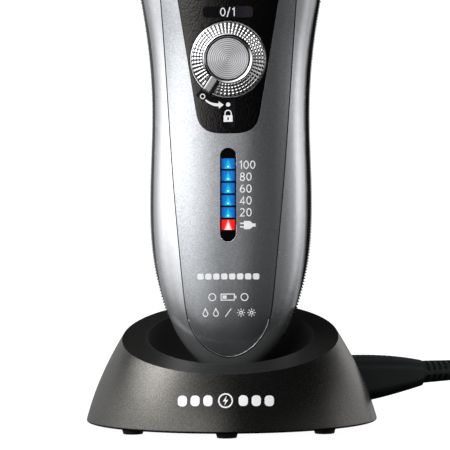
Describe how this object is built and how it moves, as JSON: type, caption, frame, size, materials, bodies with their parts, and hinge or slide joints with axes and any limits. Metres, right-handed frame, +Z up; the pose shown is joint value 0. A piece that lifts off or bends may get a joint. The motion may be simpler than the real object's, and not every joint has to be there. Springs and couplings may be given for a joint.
{
  "type": "foil shaver",
  "caption": "Cordless foil shaver leaning in an oval charging stand, with a tilting head, floating foils, knurled lock ring, charge display, rear trimmer and a corded plug.",
  "frame": {"origin": "on the floor, at the centre of the underside of the stand's front foot", "axes": "+Z up, -Y towards the shaver's face, +X towards the side with the power cord"},
  "size_m": [0.1556, 0.0934, 0.1791],
  "materials": {
    "stand_plastic": "satin black moulded plastic",
    "stand_base_plastic": "plain black moulded plastic",
    "foot_rubber": "soft black rubber",
    "plug_plastic": "fine-textured black moulding",
    "cord_jacket": "smooth black cable jacket",
    "screw_steel": "zinc-plated steel",
    "contact_metal": "gold-plated contacts",
    "housing_silver": "smooth metallic silver lacquer",
    "panel_silver": "metallic silver with fine sparkling grain",
    "inlay_black": "black leather-grained soft plastic",
    "grip_rubber": "dark grey grip with fine raised knurls",
    "rear_silver": "smooth metallic silver lacquer",
    "ring_silver": "bright satin chromed knurling",
    "button_silver": "finely turned, dark silver",
    "display_black": "glossy black window",
    "lens_blue": "translucent blue light guide",
    "lens_red": "translucent red light guide",
    "inner_plastic": "natural grey plastic",
    "cell_wrap": "shrink-wrapped round cell",
    "board_green": "green circuit board",
    "seal_rubber": "soft black elastomer",
    "spring_steel": "bright spring steel",
    "copper_wire": "enamelled copper winding",
    "magnet_nickel": "nickel-plated magnets",
    "core_iron": "stacked iron sheets",
    "head_silver": "dark silver lacquered plastic",
    "frame_black": "glossy black plastic",
    "foil_steel": "thin stainless steel foil with fine holes",
    "blade_steel": "ground stainless steel",
    "print_white": "printed white marks",
    "trim_black": "satin black plastic"
  },
  "bodies": {
    "stand": {"stand_shell": "stand_plastic", "stand_base": "stand_base_plastic", "stand_feet": "foot_rubber", "stand_screws": "screw_steel", "charge_plug": "plug_plastic", "plug_strain_relief": "plug_plastic", "power_cord": "cord_jacket", "charge_pins": "contact_metal"},
    "handle": {"front_housing": "housing_silver", "front_panel": "panel_silver", "leather_inlay": "inlay_black", "rear_cover": "rear_silver", "side_grips": "grip_rubber", "inner_chassis": "inner_plastic", "battery": "cell_wrap", "battery_tabs": "spring_steel", "circuit_board": "board_green", "indicator_leds": "inner_plastic", "display_bezel": "display_black", "charge_lenses": "lens_blue", "low_battery_lens": "lens_red", "tact_switch": "inner_plastic", "housing_gasket": "seal_rubber", "housing_screws": "screw_steel", "charge_socket": "trim_black", "button_seal": "seal_rubber", "button_spring": "spring_steel", "neck_deck": "trim_black", "neck_bellows": "seal_rubber", "trimmer_pin": "spring_steel"},
    "lock_dial": {"lock_ring": "ring_silver", "ring_retainer": "inner_plastic"},
    "power_key": {"power_button": "button_silver"},
    "head": {"head_housing": "head_silver", "pivot_pins": "spring_steel", "motor_core": "core_iron", "motor_coil": "copper_wire", "motor_cover": "trim_black", "drive_seals": "seal_rubber"},
    "mover_front": {"drive_slider_front": "inner_plastic", "magnet_front": "magnet_nickel"},
    "mover_rear": {"drive_slider_rear": "inner_plastic", "magnet_rear": "magnet_nickel"},
    "blade_front": {"inner_blade_front": "blade_steel"},
    "blade_rear": {"inner_blade_rear": "blade_steel"},
    "slit_blade_front": {"slit_cutter_front": "blade_steel"},
    "slit_blade_rear": {"slit_cutter_rear": "blade_steel"},
    "foil_unit": {"foil_frame": "frame_black"},
    "float_foil_front": {"foil_front": "foil_steel"},
    "float_foil_rear": {"foil_rear": "foil_steel"},
    "float_slit_front": {"slit_foil_front": "foil_steel"},
    "float_slit_rear": {"slit_foil_rear": "foil_steel"},
    "release_left": {"release_button_left": "head_silver"},
    "release_right": {"release_button_right": "head_silver"},
    "trimmer_slider": {"trimmer_switch": "trim_black"},
    "trimmer": {"trimmer_arm": "trim_black", "trimmer_comb": "blade_steel"},
    "trimmer_blade": {"trimmer_cutter": "blade_steel"}
  },
  "joints": [
    {"name": "lift_out", "type": "slide", "parent": "stand", "child": "handle", "axis": [0, 0.1564, 0.9877], "range_m": [0, 0.06]},
    {"name": "lock_turn", "type": "hinge", "parent": "handle", "child": "lock_dial", "pos_m": [0, 0.02855, 0.11732], "axis": [0, -0.9877, 0.1564], "range_deg": [0, 33.5]},
    {"name": "power_press", "type": "slide", "parent": "handle", "child": "power_key", "axis": [0, 0.9877, -0.1564], "range_m": [0, 0.001], "stiffness_N_per_m": 800, "deforming": ["button_spring"]},
    {"name": "head_tilt", "type": "hinge", "parent": "handle", "child": "head", "pos_m": [0, 0.0472, 0.15193], "axis": [1, 0, 0], "range_deg": [-10, 10], "stiffness_Nm_per_rad": 0.3, "deforming": ["neck_bellows"]},
    {"name": "motor_stroke", "type": "slide", "parent": "head", "child": "mover_front", "axis": [1, 0, 0], "range_m": [-0.001, 0.001], "stiffness_N_per_m": 400, "deforming": ["drive_seals"]},
    {"name": "motor_counterstroke", "type": "slide", "parent": "head", "child": "mover_rear", "axis": [1, 0, 0], "range_m": [-0.001, 0.001]},
    {"name": "foil_lift", "type": "slide", "parent": "head", "child": "foil_unit", "axis": [0, 0.1564, 0.9877], "range_m": [0, 0.025]},
    {"name": "foil_float_front", "type": "slide", "parent": "foil_unit", "child": "float_foil_front", "axis": [0, -0.1564, -0.9877], "range_m": [0, 0.0015], "stiffness_N_per_m": 300},
    {"name": "foil_float_rear", "type": "slide", "parent": "foil_unit", "child": "float_foil_rear", "axis": [0, -0.1564, -0.9877], "range_m": [0, 0.0015], "stiffness_N_per_m": 300},
    {"name": "slit_float_front", "type": "slide", "parent": "foil_unit", "child": "float_slit_front", "axis": [0, -0.1564, -0.9877], "range_m": [0, 0.0015], "stiffness_N_per_m": 300},
    {"name": "slit_float_rear", "type": "slide", "parent": "foil_unit", "child": "float_slit_rear", "axis": [0, -0.1564, -0.9877], "range_m": [0, 0.0015], "stiffness_N_per_m": 300},
    {"name": "blade_float_front", "type": "slide", "parent": "mover_front", "child": "blade_front", "axis": [0, -0.1564, -0.9877], "range_m": [0, 0.0015]},
    {"name": "blade_float_rear", "type": "slide", "parent": "mover_rear", "child": "blade_rear", "axis": [0, -0.1564, -0.9877], "range_m": [0, 0.0015]},
    {"name": "slit_blade_float_front", "type": "slide", "parent": "mover_front", "child": "slit_blade_front", "axis": [0, -0.1564, -0.9877], "range_m": [0, 0.0015]},
    {"name": "slit_blade_float_rear", "type": "slide", "parent": "mover_rear", "child": "slit_blade_rear", "axis": [0, -0.1564, -0.9877], "range_m": [0, 0.0015]},
    {"name": "release_press_left", "type": "slide", "parent": "head", "child": "release_left", "axis": [1, 0, 0], "range_m": [0, 0.0012], "stiffness_N_per_m": 600},
    {"name": "release_press_right", "type": "slide", "parent": "head", "child": "release_right", "axis": [-1, 0, 0], "range_m": [0, 0.0012], "stiffness_N_per_m": 600},
    {"name": "trimmer_slide", "type": "slide", "parent": "handle", "child": "trimmer_slider", "axis": [0, 0.1564, 0.9877], "range_m": [0, 0.004]},
    {"name": "trimmer_swing", "type": "hinge", "parent": "handle", "child": "trimmer", "pos_m": [0, 0.05459, 0.11421], "axis": [-1, 0, 0], "range_deg": [0, 50]},
    {"name": "trimmer_cut", "type": "slide", "parent": "trimmer", "child": "trimmer_blade", "axis": [1, 0, 0], "range_m": [-0.0008, 0.0008]}
  ],
  "couplings": [
    {"joint": "motor_counterstroke", "follows": "motor_stroke", "ratio": -1},
    {"joint": "blade_float_front", "follows": "foil_float_front", "ratio": 1},
    {"joint": "blade_float_rear", "follows": "foil_float_rear", "ratio": 1},
    {"joint": "slit_blade_float_front", "follows": "slit_float_front", "ratio": 1},
    {"joint": "slit_blade_float_rear", "follows": "slit_float_rear", "ratio": 1},
    {"joint": "trimmer_swing", "follows": "trimmer_slide", "rad_per_m": 218.17},
    {"joint": "trimmer_cut", "follows": "motor_stroke", "ratio": 0.8}
  ]
}
